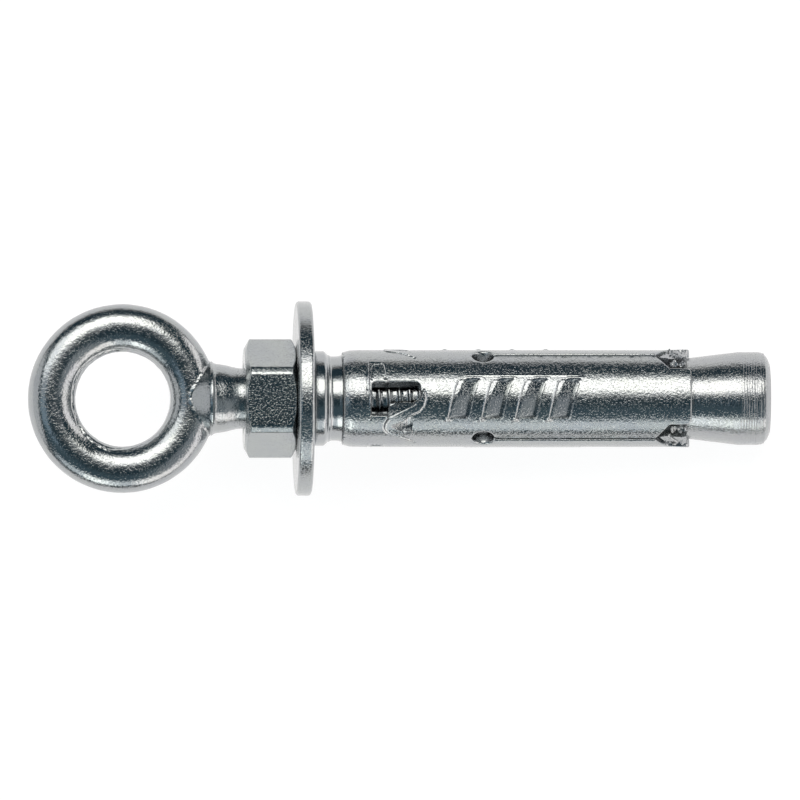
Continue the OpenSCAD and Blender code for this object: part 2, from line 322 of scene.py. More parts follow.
def hex_nut():
    far, near = -1.95, -8.25
    o = hex_outline(13.0, 7.26, -1.5)
    rad = np.hypot(o[:, 0], o[:, 1])
    th = np.arctan2(o[:, 0], o[:, 1])
    n = len(o)
    face_r, k30 = 6.12, math.tan(math.radians(30))
    rows = []

    def row(r, u):
        r, u = np.broadcast_to(r, n), np.broadcast_to(u, n)
        rows.append(np.stack([u, r * np.sin(th), r * np.cos(th)], 1))

    rise = np.maximum(rad - face_r, 0) * k30
    far_r = 6.36
    drop = np.maximum(rad - far_r, 0) * k30
    # thread in the bore, from the near end to the far end and back over the outside
    for u in np.arange(near + 0.42, far - 0.41, 0.104):
        r = thread_r(np.full(n, u), th, 4.03, 3.40, THREAD_AT)
        # the ridge sits in the bolt's groove, so it is the same helix with a little air round it
        r = np.clip(r + 0.055, 3.45, 4.03)
        r = r + (4.03 - r) * (1 - smooth(u, near + 0.5, near + 2.6))
        row(r, u)
    row(4.03, far - 0.4)
    row(4.44, far - 0.012)
    row(4.5, far)
    for r in np.linspace(4.6, far_r - 0.05, 8):
        row(r, far)
    row(far_r, far - 0.004)
    for f in (0.12, 0.35, 0.6, 0.8, 0.94):
        row(far_r + (rad - far_r) * f, far - drop * f)
    row(rad - 0.03, far - drop - 0.01)
    row(rad, far - drop - 0.06)
    for f in np.linspace(0.04, 0.96, 9):
        row(rad, (far - drop - 0.06) * (1 - f) + (near + rise + 0.06) * f)
    row(rad, near + rise + 0.06)
    row(rad - 0.03, near + rise + 0.01)
    for f in (0.94, 0.8, 0.6, 0.35, 0.12):
        row(face_r + (rad - face_r) * f, near + rise * f)
    row(face_r, near + 0.004)
    for r in np.linspace(face_r - 0.05, 4.6, 8):
        row(r, near)
    row(4.5, near)
    row(4.44, near + 0.012)
    row(4.03, near + 0.41)
    v = np.concatenate(rows)
    return v, turned_grid(len(rows), n)


# ---------------------------------------------------------------- washer and collar

def washer():
    e, c = 0.4, 11.5
    prof = ([(4.35, -1.9), (4.24, -1.86), (4.2, -1.75), (4.2, -0.15), (4.24, -0.04), (4.35, 0.0)]
            + [(r, 0.0) for r in np.linspace(4.7, c - 0.2, 14)]
            + arc(-e, c, e, 0, 90, 7) + [(11.9, -0.7), (11.9, -0.95), (11.9, -1.2)]
            + arc(-1.9 + e, c, e, 90, 180, 7)
            + [(r, -1.9) for r in np.linspace(c - 0.2, 4.7, 14)])

    def wobble(v):
        r = np.hypot(v[:, 1], v[:, 2])
        n1 = waves(v, 0.35, 11, 2)
        k = np.where(r > 11.2, 0.02 * (n1 - 1), 0)[:, None]
        out = v.copy()
        out[:, 1:] += v[:, 1:] / r[:, None] * k
        return out

    return ring_piece(prof, 224, wobble)


def collar():
    prof = [(4.25, 0.3), (4.33, 0.3), (5.1, 0.3), (5.62, 0.3), (5.70, 0.315), (5.77, 0.36), (5.8, 0.45),
            (5.8, 0.9), (5.8, 1.4), (5.785, 1.49), (5.74, 1.58), (5.66, 1.68), (5.53, 1.8),
            (5.42, 1.9), (5.34, 1.98), (5.30, 2.04), (5.295, 2.1), (5.31, 2.15), (5.30, 2.2),
            (5.24, 2.26), (5.19, 2.34), (5.165, 2.5), (5.16, 2.75), (5.16, 3.0), (5.18, 3.2),
            (5.22, 3.4), (5.26, 3.55), (5.27, 3.63), (5.24, 3.69), (5.18, 3.7), (4.8, 3.7), (4.33, 3.7), (4.25, 3.62)]
    return ring_piece(refine(prof, 0.5), 160)


# ---------------------------------------------------------------- cone nut

def cone_nut():
    # angles: dense over the three lugs
    lugs = [math.radians(63 + 120 * k) for k in range(3)]
    th = []
    for c in lugs:
        th += (c + np.radians(np.linspace(-27, 27, 62))).tolist()
        th += (c + np.radians(np.linspace(28.5, 91.5, 27))).tolist()
    th = np.sort(np.array(th) % TAU)
    n = len(th)

    def lathe_r(u):
        r = np.interp(u, [42.0, 52.0, 52.08, 52.22, 52.3], [4.44, 5.655, 5.66, 5.685, 5.69])
        return r

    def lug(u, c):
        """A lug: a wedge with a diagonal crease, and a crumpled chip on either side of it."""
        d = (th - c + math.pi) % TAU - math.pi
        q = 5.95 * d
        crumple = np.array([noise.fractal(Vector((u * 1.2, x * 1.3, c * 5)), 0.9, 2.1, 3) for x in q])
        fine = np.array([noise.noise(Vector((u * 4.1, x * 4.3, c * 3))) for x in q])
        reach = np.interp(u, [42.35, 43.0, 43.5, 45.7, 45.88], [0.10, 0.58, 0.80, 0.80, 0.72])
        wedge = smooth(reach - np.abs(q) + 0.04 * fine, 0.0, 0.11) * smooth(u, 42.35, 42.5) * (1 - smooth(u, 45.74, 45.87))
        e = (u - 44.35) + 0.95 * q
        top = np.interp(u, [42.4, 43.7, 44.6, 45.86], [5.62, 5.98, 6.1, 6.02]) + 0.07 * np.abs(q)
        top = top - 0.42 * np.exp(-((e + 0.05 * fine) / 0.17) ** 2) - 0.25 * smooth(-e, 0.1, 0.7) * smooth(u, 43.2, 43.8)
        top = np.minimum(top + 0.10 * crumple + 0.05 * fine, 6.165)
        a = np.abs(q) - 1.68
        chip = smooth(0.56 - np.abs(a) + 0.07 * fine, 0.0, 0.12) * smooth(u + 0.12 * crumple, 43.62, 43.78) * (1 - smooth(u + 0.1 * crumple, 45.68, 45.84))
        ctop = np.minimum(5.72 + 0.34 * crumple + 0.17 * fine + 0.20 * np.sin(u * 7.5 + 3 * q), 6.13)
        return top, wedge, ctop, chip

    rows = []

    def row(r, u):
        r, u = np.broadcast_to(r, n), np.broadcast_to(u, n)
        rows.append(np.stack([u, r * np.sin(th), r * np.cos(th)], 1))

    us = sorted(set([42.0, 42.06, 42.15, 42.3]
                    + np.round(np.linspace(42.36, 46.0, 74), 4).tolist()
                    + np.round(np.linspace(46.2, 51.6, 26), 4).tolist()
                    + [51.8, 51.95, 52.0, 52.04, 52.08, 52.13, 52.18, 52.22, 52.26, 52.3, 52.4]))
    row(4.35, 42.0)
    for u in us:
        base = np.full(n, float(lathe_r(u))) - (0.04 if u == 42.0 else 0)
        if 42.34 < u < 46.0:
            for c in lugs:
                top, wedge, ctop, chip = lug(u, c)
                base = np.maximum(base + (top - base) * wedge, base + (ctop - base) * chip)
        row(base, u)
    e, cr, cu = 1.6, 4.09, 54.45
    for g, deep in ((52.50, 0.010), (52.72, 0.022), (52.86, 0.012), (53.04, 0.026), (53.20, 0.012), (53.36, 0.024), (53.50, 0.010),
                    (53.68, 0.026), (53.80, 0.014), (53.98, 0.024), (54.12, 0.012), (54.28, 0.026)):
        row(5.69, g - 0.045)
        row(5.69 - deep, g - 0.008)
        row(5.69 - deep, g + 0.008)
        row(5.69, g + 0.045)
    for r, u in ((5.69, 54.44), (5.682, 54.60), (5.665, 54.80), (5.642, 54.83), (5.638, 54.90), (5.618, 55.12), (5.565, 55.15),
                 (5.556, 55.22), (5.522, 55.39), (5.40, 55.415), (5.37, 55.43)):
        row(r, u)
    for a in np.linspace(51, 0, 15):
        t = math.radians(a)
        row(cr + e * math.sin(t), cu + e * math.cos(t))
    rows_out = len(rows)
    # countersink and thread, seen from the tip, back to the thin end
    row(4.38, 56.045)
    for f in (0.0, 0.3, 0.6, 0.85, 1.0):
        r0 = 4.36 - 0.33 * f
        u0 = 56.03 - 0.34 * f
        row(r0, u0)
    for u in np.arange(55.6, 42.2, -0.104):
        r = thread_r(np.full(n, u), th, 4.03, 3.40, THREAD_AT)
        r = np.clip(r + 0.055, 3.45, 4.03)
        r = r + (4.03 - r) * (1 - smooth(-u, -55.6, -55.0))
        row(r, u)
    row(4.03, 42.1)
    row(4.1, 42.0)
    v = np.concatenate(rows)
    return v, turned_grid(len(rows), n)


# ---------------------------------------------------------------- expansion sleeve

SR = 5.93
HALF = SR * math.radians(60)
CENTRE = math.radians(3)        # the sector's middle; its features are drawn about angle 0


def s_of(y):
    """Distance along the sector's arc, from its middle, of a feature drawn at height y."""
    return SR * (np.arcsin(np.clip(np.asarray(y, float) / SR, -1, 1)) - CENTRE)


def y_of(s):
    return SR * np.sin(np.asarray(s, float) / SR + CENTRE)


def densify(poly, step, closed=True):
    out = []
    n = len(poly)
    for i in range(n if closed else n - 1):
        a, b = np.array(poly[i], float), np.array(poly[(i + 1) % n], float)
        k = max(1, int(math.ceil(np.linalg.norm(b - a) / step)))
        out += [tuple(a + (b - a) * j / k) for j in range(k)]
    if not closed:
        out.append(tuple(poly[-1]))
    return out


def inside(poly, pts):
    poly, pts = np.asarray(poly, float), np.asarray(pts, float)
    x, y = pts[:, 0], pts[:, 1]
    got = np.zeros(len(pts), bool)
    x0, y0 = poly[:, 0], poly[:, 1]
    x1, y1 = np.roll(x0, -1), np.roll(y0, -1)
    for a, b, c, d in zip(x0, y0, x1, y1):
        if b == d:
            continue
        hit = ((b > y) != (d > y)) & (x < (c - a) * (y - b) / (d - b) + a)
        got ^= hit
    return got


def dist_to(line, pts, closed=False):
    """Distance from points to a polyline, with the signed side of the nearest stretch."""
    line, pts = np.asarray(line, float), np.asarray(pts, float)
    best = np.full(len(pts), 1e9)
    side = np.zeros(len(pts))
    n = len(line)
    for i in range(n if closed else n - 1):
        a, b = line[i], line[(i + 1) % n]
        d = b - a
        L = d @ d
        if L < 1e-12:
            continue
        t = np.clip(((pts - a) @ d) / L, 0, 1)
        q = pts - (a + t[:, None] * d)
        e = np.hypot(q[:, 0], q[:, 1])
        m = e < best - 1e-9
        best[m] = e[m]
        side[m] = np.sign(d[0] * q[m, 1] - d[1] * q[m, 0])
    return best, side


def notch_edge():
    """Half of a slot's outline, from the relief hole to the sleeve's front, as (u, distance from the slot's middle)."""
    pts = []
    r = 1.325
    for a in np.linspace(180, math.degrees(math.asin(0.26 / r)), 30):
        t = math.radians(a)
        pts.append((20.9 + r * math.cos(t), SR * math.asin(r * math.sin(t) / SR)))
    pts += [(24, 0.26), (30, 0.26), (36, 0.26), (41.9, 0.26), (42.05, 0.31), (43.5, 2.32), (43.62, 2.43),
            (43.85, 2.47), (44.6, 2.48), (45.35, 2.51), (45.8, 2.57), (46.08, 2.69), (46.24, 2.9),
            (46.3, 3.15)]
    return pts


def window_outline():
    """The opening, as (u, y); the folded tab fills its lower far corner."""
    c = 0.75
    pts = [(7.165, -2.0), (7.165, -1.0), (7.17, 0.4), (7.165, 1.5), (7.20, 1.72), (7.32, 1.90), (7.46, 2.03),
           (7.62, 2.10), (8.55, 2.12), (8.78, 2.03), (8.92, 1.96), (9.05, 2.05), (9.25, 2.12), (10.4, 2.12),
           (11.6, 2.12)]
    for a in np.linspace(90, 0, 9):
        t = math.radians(a)
        pts.append((13.13 - c + c * math.cos(t), 2.12 - c + c * math.sin(t)))
    pts += [(13.14, 0.9), (13.12, 0.45), (13.0, 0.05), (12.6, -0.35), (12.2, -0.60), (11.58, -0.56), (10.9, -0.57),
            (10.2, -0.60), (9.75, -0.70), (9.42, -0.80), (9.34, -1.0), (9.25, -1.4), (9.16, -1.85), (9.08, -2.08),
            (8.9, -2.14), (8.1, -2.13), (7.4, -2.12), (7.22, -2.08)]
    return pts


CREASE = [(9.29, -2.27), (10.3, -1.78), (11.3, -1.29), (12.24, -0.82), (12.53, -0.39), (13.17, 0.15), (13.45, 0.82)]
OUTER = [(13.45, 0.82), (13.62, 0.72), (13.75, 0.0), (13.52, -0.84), (13.02, -1.53), (12.1, -1.94)]
LOWER = [(9.15, -2.6), (8.86, -3.05), (8.76, -3.53), (8.88, -3.9), (9.21, -4.2), (9.9, -4.42), (10.74, -4.62),
         (11.6, -4.9), (12.46, -5.24)]
LEAF = CREASE + OUTER[1:] + [(12.22, -2.6), (12.24, -3.4), (12.2, -4.2), (11.9, -5.0)] + LOWER[7::-1]
PATCH_TOP = [(9.45, -3.34), (10.9, -2.76), (11.5, -2.26), (12.17, -1.97)]
PATCH = PATCH_TOP + [(12.2, -3.0), (12.15, -3.95), (11.0, -4.05), (10.2, -3.78)]
ARCH = [(7.27, 2.43), (7.26, 3.3), (7.30, 3.85), (7.45, 4.08), (7.8, 4.14), (8.35, 4.14), (8.6, 4.2), (8.68, 3.9),
        (8.8, 3.2), (8.9, 2.5)]
SEAM = [(6.85, 4.45), (6.83, 3.4), (6.84, 1.6), (6.87, 1.1), (6.97, 0.7), (7.04, 0.4), (7.08, -1.2), (7.08, -2.1),
        (7.0, -2.5)]
RIBS = [17.0 + 4.12 * i for i in range(4)]
RIB_LOW, RIB_TOP, RIB_W = -2.45, 2.47, 2.45


def rib_left(y):
    """How far a rib's left edge has moved along the bolt at height y."""
    return 0.27 * y + 0.02 * y * y + 0.42 * np.clip((y - 1.9) / 0.6, 0, 1) ** 2


def drawn(curve):
    """A curve given as (u, y), on the sleeve's own surface: (u, distance along the arc)."""
    return [(u, float(s_of(y))) for u, y in curve]


def hill(d, at, w):
    return np.exp(-((d - at) / w) ** 2)


def ribs(u, y):
    """Pressed ribs: a step down on the left, a floor that falls to the right, and a steep wall back up."""
    h = np.zeros(len(u))
    for at in RIBS:
        x = u - at - rib_left(y)
        near = (x > -0.8) & (x < RIB_W + 0.5) & (y > RIB_LOW - 0.6) & (y < RIB_TOP + 0.4)
        t = np.clip((y - RIB_LOW) / (RIB_TOP - RIB_LOW), 0, 1)
        strip = 0.22 + 0.42 * t
        wall = 0.20
        q = np.clip((x - strip) / (RIB_W - wall - strip), 0, 1)
        floor = -0.11 * smooth(x, 0.01, 0.13) - 0.39 * (0.7 * q + 0.3 * q * q)
        floor = floor * (1 - smooth(x, RIB_W - wall, RIB_W))
        ends = smooth(y, RIB_LOW, RIB_LOW + 0.07) * (1 - smooth(y, RIB_TOP - 0.30, RIB_TOP))
        length = smooth(y, RIB_LOW - 0.1, RIB_LOW + 0.25) * (1 - smooth(y, RIB_TOP - 0.9, RIB_TOP - 0.1))
        lips = 0.055 * hill(x, -0.07, 0.08) * length + 0.04 * hill(x, RIB_W + 0.06, 0.08) * length
        burr = 0.045 * hill(y, RIB_TOP + 0.10, 0.07) * smooth(x, 0.3, 0.6) * (1 - smooth(x, RIB_W - 0.1, RIB_W + 0.1))
        h += np.where(near, lips + floor * ends + burr, 0)
    return h + 0.03 * hill(y, 2.82, 0.08) * smooth(u, 18.4, 18.8) * (1 - smooth(u, 32.1, 32.6))


def teeth(u, y):
    """A rough tooth of metal pushed up at each rib's lower corner."""
    h = np.zeros(len(u))
    for at in RIBS:
        x = u - at - rib_left(y)
        up = np.clip((RIB_LOW + 0.20 - y) / 0.40, 0, 1) * (1 - smooth(-y, -RIB_LOW + 0.22, -RIB_LOW + 0.42))
        h += hill(x, -0.06, 0.30) * up * (np.abs(x) < 1.2)
    return h


def tab_marks(u, s, y):
    """What pressing the tab has left round the window: the leaf, the sunk tab, the arch and the shear lines."""
    pts = np.stack([u, s], 1)
    h = np.zeros(len(u))
    leaf = inside(drawn(LEAF), pts)
    d_leaf, _ = dist_to(drawn(LEAF), pts, True)
    d_cr, side = dist_to(drawn(CREASE), pts)
    lift = 0.035 + 0.075 * np.exp(-(d_cr / 0.9) ** 1.6)
    h = np.where(leaf, lift * smooth(d_leaf, 0.0, 0.08), h)
    # the folded tab, sunk into the window above the crease
    tab = (~leaf) & (side > 0) & (u > 9.1) & (u < 13.7) & (y < 0.95) & (y > -2.6) & (d_cr < 1.8)
    h = np.where(tab, -np.interp(d_cr, [0, 0.03, 1.0, 1.3, 2.0], [0, 0.01, 1.08, 1.2, 1.2]), h)
    near = (u > 8.4) & (u < 14.4)
    h += np.where(near, 0.085 * hill(d_cr, 0, 0.065), 0)
    # a striped patch under the crease that dips below the leaf
    patch = inside(drawn(PATCH), pts)
    d_patch, _ = dist_to(drawn(PATCH), pts, True)
    d_top, _ = dist_to(drawn(PATCH_TOP), pts)
    stripes = sum(a * hill(u, at, w) for at, w, a in ((10.8, 0.10, 0.022), (11.3, 0.12, 0.028), (11.85, 0.13, 0.034)))
    stripes = stripes - 0.022 * hill(u, 11.05, 0.08) - 0.03 * hill(u, 11.58, 0.10)
    h = np.where(patch, h - (0.13 * d_top + 0.15 * (u - 9.45) * smooth(d_top, 0, 0.2) - stripes * smooth(d_top, 0, 0.25)) * smooth(d_patch, 0.0, 0.06), h)
    # shear lines
    d, sd = dist_to(drawn(OUTER), pts)
    h += np.where(near, 0.03 * hill(d * sd, 0.0, 0.055) - 0.055 * hill(d * sd, 0.13, 0.055), 0)
    low = np.array(drawn(LOWER))
    for shift in (0, 2 * HALF):
        d, sd = dist_to(low + [0, shift], pts)
        w = 1 + 0.7 * smooth(-u, -10.2, -9.0)
        h += np.where(d < 0.8, 0.03 * hill(d * sd, 0.06, 0.07 * w) - 0.085 * hill(d * sd, -0.08, 0.07), 0)
        e = np.hypot(u - 12.5, s - float(s_of(-5.30)) - shift)
        h -= 0.22 * np.exp(-(e / 0.15) ** 2)
    d, sd = dist_to(drawn(ARCH), pts)
    h += np.where(d < 0.6, 0.035 * hill(d * sd, 0.0, 0.07) - 0.055 * hill(d * sd, 0.15, 0.07), 0)
    d, sd = dist_to(drawn(SEAM), pts)
    upper = smooth(y, 0.3, 1.0)
    h += np.where(d < 0.6, 0.05 * hill(d * sd, -0.10, 0.065) - 0.08 * hill(d * sd, 0.06, 0.07) - 0.05 * upper * hill(d * sd, -0.26, 0.05), 0)
    h += 0.03 * hill(u, 6.45, 0.06) * smooth(y, -0.4, 0.2) * (1 - smooth(y, 2.6, 3.2))
    for at_u, at_y, deep, w in ((8.86, 2.45, 0.16, 0.13), (12.42, -0.62, 0.14, 0.10), (13.6, 1.02, 0.10, 0.10), (7.22, 4.3, 0.08, 0.12)):
        h -= deep * np.exp(-((u - at_u) ** 2 + (s - float(s_of(at_y))) ** 2) / w ** 2)
    for at_u, at_y, high, w in ((12.3, -0.78, 0.07, 0.10), (8.5, 4.32, 0.06, 0.10), (9.0, -2.22, 0.05, 0.10)):
        h += high * np.exp(-((u - at_u) ** 2 + (s - float(s_of(at_y))) ** 2) / w ** 2)
    return h


def sleeve_skin(u, s, edge):
    """Outer radius of the sleeve. edge is the distance to the nearest cut edge."""
    y = y_of(s)
    r = np.interp(u, [3.75, 3.79, 3.88, 4.05, 4.6, 5.2, 5.9, 43.3, 46.12, 46.24, 46.3],
                  [5.56, 5.62, 5.66, 5.71, 5.87, 5.92, 5.93, 5.93, 5.98, 5.95, 5.86])
    h = ribs(u, y)
    k = (u > 6.0) & (u < 14.8)
    h[k] += tab_marks(u[k], s[k], y[k])
    # cut edges are rolled over, more round the relief holes; the slots are sheared a little unevenly
    side = HALF - np.abs(s)
    hole = smooth(-np.hypot(u - 20.9, side), -2.1, -1.5)
    f = 0.14 + 0.17 * hole
    slot = (u > 22.3) & (u < 42) & (side < 0.8)
    uneven = np.array([noise.noise(Vector((a * 2.7, b * 0.8, 2.0))) + 0.5 * noise.noise(Vector((a * 7, b, 5.0)))
                       for a, b in zip(u[slot], s[slot])])
    if slot.any():
        f[slot] *= 1 + 0.55 * uneven
        h[slot] += (0.035 + 0.035 * uneven) * hill(side[slot], 0.40, 0.09)
    e = np.clip(edge, 0, f)
    roll = f - np.sqrt(np.maximum(f * f - (f - e) ** 2, 0))
    return r + h - roll * 0.9


def sleeve_bore(u):
    meet = 42 + (4.55 - 0.06 - 4.44) / 0.122
    return np.where(u < meet, 4.55, 4.44 + 0.122 * (u - 42) + 0.06) + np.clip(u - 46.1, 0, 0.2) * 0.4


def triangulate(loops, extra):
    verts, edges = [], []
    for loop in loops:
        n0 = len(verts)
        verts += loop
        edges += [(n0 + i, n0 + (i + 1) % len(loop)) for i in range(len(loop))]
    fixed = len(verts)
    verts = verts + [tuple(p) for p in extra]
    out_v, _, out_f, orig, _, _ = delaunay_2d_cdt([Vector(p) for p in verts], edges, [], 0, 1e-6)
    V = np.array([v[:] for v in out_v])
    F = np.array([tuple(f) for f in out_f if len(f) == 3])
    mid = V[F].mean(1)
    ok = inside(loops[0], mid)
    for hole in loops[1:]:
        ok &= ~inside(hole, mid)
    F = F[ok]
    where = np.full(len(verts), -1)
    for i, o in enumerate(orig):
        for k in o:
            where[k] = i
    lost = int((where[:fixed] < 0).sum())
    if lost:
        print("outline points lost", lost)
    return V, F, where[:fixed]


def expansion_sleeve():
    slot = notch_edge()
    top = [(u, HALF - d) for u, d in slot]
    # sector outline, counter-clockwise: rear edge up the near side, then the front, then back
    low_edge = densify([(3.75, -HALF), (20.9 - 1.325, -HALF)], 0.42, False)
    up_edge = [(u, -s) for u, s in low_edge]
    low_cut = densify([(u, -s) for u, s in top], 0.17, False)
    up_cut = [(u, -s) for u, s in low_cut]
    front = densify([low_cut[-1], up_cut[-1]], 0.22, False)
    rear = densify([(3.75, HALF), (3.75, -HALF)], 0.22, False)
    outline = low_edge[:-1] + low_cut[:-1] + front[:-1] + up_cut[::-1][:-1] + up_edge[::-1][:-1] + rear[:-1]
    window = densify(drawn(window_outline()), 0.10)
    cuts = [low_cut, up_cut, front]

    def edge_dist(p):
        d = np.full(len(p), 1e9)
        for c in cuts:
            d = np.minimum(d, dist_to(c, p)[0])
        return np.minimum(d, dist_to(window, p, True)[0])

    # points of the skin: an even field, finer over everything pressed or cut
    g = np.mgrid[3.98:46.2:0.42, -HALF + 0.3:HALF - 0.2:0.36].reshape(2, -1).T
    fine = np.mgrid[15.9:32.9:0.135, -3.3:2.85:0.15].reshape(2, -1).T
    leaf = np.mgrid[6.3:14.5:0.115, -6.1:4.5:0.115].reshape(2, -1).T
    tail = np.mgrid[8.2:13.6:0.12, 4.6:6.15:0.12].reshape(2, -1).T
    patch = np.mgrid[9.4:12.3:0.07, -4.7:-2.3:0.09].reshape(2, -1).T
    rng = np.random.default_rng(5)
    field = [patch, g + rng.uniform(-0.03, 0.03, g.shape), fine + rng.uniform(-0.012, 0.012, fine.shape),
             leaf + rng.uniform(-0.01, 0.01, leaf.shape), tail]
    for u0 in (3.79, 3.86, 4.05, 4.35, 4.7, 5.2, 5.8):
        s = np.arange(-HALF + 0.2, HALF - 0.1, 0.24)
        field.append(np.stack([np.full(len(s), u0), s], 1))
    lines = []
    for at in RIBS:
        ys = np.linspace(RIB_LOW - 0.12, RIB_TOP + 0.02, 52)
        for dx in (-0.16, -0.07, 0.01, 0.07, 0.13, RIB_W - 0.20, RIB_W - 0.135, RIB_W - 0.07, RIB_W, RIB_W + 0.07, RIB_W + 0.16):
            lines.append(np.stack([at + rib_left(ys) + dx, s_of(ys)], 1))
        xs = np.linspace(-0.1, RIB_W + 0.2, 30)
        for yy in (RIB_LOW - 0.05, RIB_LOW, RIB_LOW + 0.035, RIB_LOW + 0.07, RIB_TOP - 0.30, RIB_TOP - 0.2, RIB_TOP - 0.1, RIB_TOP, RIB_TOP + 0.05, RIB_TOP + 0.10, RIB_TOP + 0.15):
            lines.append(np.stack([at + rib_left(np.full(30, yy)) + xs, s_of(np.full(30, yy))], 1))
        tooth = np.mgrid[-0.5:0.4:0.07, RIB_LOW - 0.4:RIB_LOW + 0.2:0.07].reshape(2, -1).T
        lines.append(np.stack([at + rib_left(np.full(len(tooth), RIB_LOW)) + tooth[:, 0], s_of(tooth[:, 1])], 1))
    us = np.arange(18.4, 32.6, 0.12)
    for yy in (2.72, 2.78, 2.82, 2.86, 2.92):
        lines.append(np.stack([us, s_of(np.full(len(us), yy))], 1))
    for curve, closed, shift in ((LEAF, True, 0), (CREASE, False, 0), (OUTER, False, 0), (ARCH, False, 0), (SEAM, False, 0),
                                 (LOWER, False, 0), (LOWER, False, 2 * HALF)):
        c = np.array(densify(drawn(curve), 0.09, closed)) + [0, shift]
        d = np.roll(c, -1, 0) - np.roll(c, 1, 0)
        d /= np.linalg.norm(d, axis=1)[:, None]
        nrm = np.stack([-d[:, 1], d[:, 0]], 1)
        for off in (-0.21, -0.14, -0.07, 0.0, 0.07, 0.14, 0.21):
            lines.append(c + nrm * off)
    for c in cuts + [window + [window[0]]]:
        a = np.array(c)
        d = np.gradient(a, axis=0)
        d /= np.maximum(np.linalg.norm(d, axis=1), 1e-9)[:, None]
        nrm = np.stack([-d[:, 1], d[:, 0]], 1)
        for off in (0.035, 0.085, 0.15, 0.23, 0.31):
            for sgn in (-1, 1):
                lines.append(a + nrm * off * sgn)
    for sgn in (-1, 1):
        for off in (0.32, 0.40, 0.48):
            lines.append(np.stack([np.arange(22.4, 41.8, 0.14), np.full(139, sgn * (HALF - off))], 1))
    lines = np.concatenate(lines)
    field = np.concatenate(field)

    def usable(p, gap):
        m = inside(outline, p) & ~inside(window, p)
        m &= (p[:, 0] > 3.765) & (p[:, 0] < 46.285) & (np.abs(p[:, 1]) < HALF - 0.03)
        p = p[m]
        return p[edge_dist(p) > gap]

    lines = usable(lines, 0.028)
    field = usable(field, 0.10)

    def thin(p, cell):
        seen = set()
        out = []
        for q in p:
            k = (int(q[0] / cell), int((q[1] + 20) / cell))
            if k not in seen:
                seen.add(k)
                out.append(q)
        return np.array(out)

    lines = thin(lines, 0.045)
    dense = set((int(q[0] / 0.09), int((q[1] + 20) / 0.09)) for q in lines)
    near = np.array([(int(q[0] / 0.09), int((q[1] + 20) / 0.09)) in dense for q in field])
    field = thin(field[~near], 0.07)
    extra = np.concatenate([lines, field])

    V, F, at = triangulate([outline, window], extra)
    Vi, Fi, at_i = triangulate([outline, window], usable(g, 0.25))

    r_out = sleeve_skin(V[:, 0], V[:, 1], edge_dist(V))
    r_in = sleeve_bore(Vi[:, 0])
    r_out = np.maximum(r_out, 4.55 + 0.14)
    n_out, n_in = len(V), len(Vi)

    # walls between the two skins, along the outline (not along the joins between sectors) and the window
    walls = []
    no, nw = len(outline), len(window)
    for i in range(no):
        j = (i + 1) % no
        a, b = outline[i], outline[j]
        if abs(abs(a[1]) - HALF) < 1e-9 and abs(abs(b[1]) - HALF) < 1e-9 and abs(a[1] - b[1]) < 1e-9:
            continue
        walls.append((at[i], at[j], n_out + at_i[j], n_out + at_i[i]))
    for i in range(nw):
        j = (i + 1) % nw
        walls.append((at[no + i], at[no + j], n_out + at_i[no + j], n_out + at_i[no + i]))

    # the window's upper wall leans in, so that it shows from above
    th_in = Vi[:, 1] / SR
    yi = y_of(Vi[:, 1])
    lean = (yi > 1.2) & (yi < 2.3) & (Vi[:, 0] > 7.0) & (Vi[:, 0] < 13.4)
    tooth = teeth(V[:, 0], y_of(V[:, 1]))
    verts, faces = [], []
    for k in range(3):
        base = k * (n_out + n_in)
        th = V[:, 1] / SR + CENTRE + k * TAU / 3
        p_out = np.stack([V[:, 0], r_out * np.sin(th), r_out * np.cos(th)], 1)
        dent = waves(p_out, 0.5, 20, 2)
        rr = r_out + 0.012 * dent * smooth(V[:, 0], 4.2, 5.5) + (0.33 if k == 0 else 0.13) * tooth
        p_out = np.stack([V[:, 0], rr * np.sin(th), rr * np.cos(th)], 1)
        ti = th_in + CENTRE + k * TAU / 3 - np.where(lean, math.radians(3.5) * smooth(yi, 1.2, 2.1), 0)
        p_in = np.stack([Vi[:, 0], r_in * np.sin(ti), r_in * np.cos(ti)], 1)
        verts += [p_out, p_in]
        faces += [tuple(base + f) for f in F]
        faces += [tuple(base + n_out + f[::-1]) for f in Fi]
        faces += [tuple(base + np.array(w)) for w in walls]
    print("sleeve skin", n_out, len(F), "bore", n_in, len(Fi))
    return np.concatenate(verts), faces


# ---------------------------------------------------------------- materials

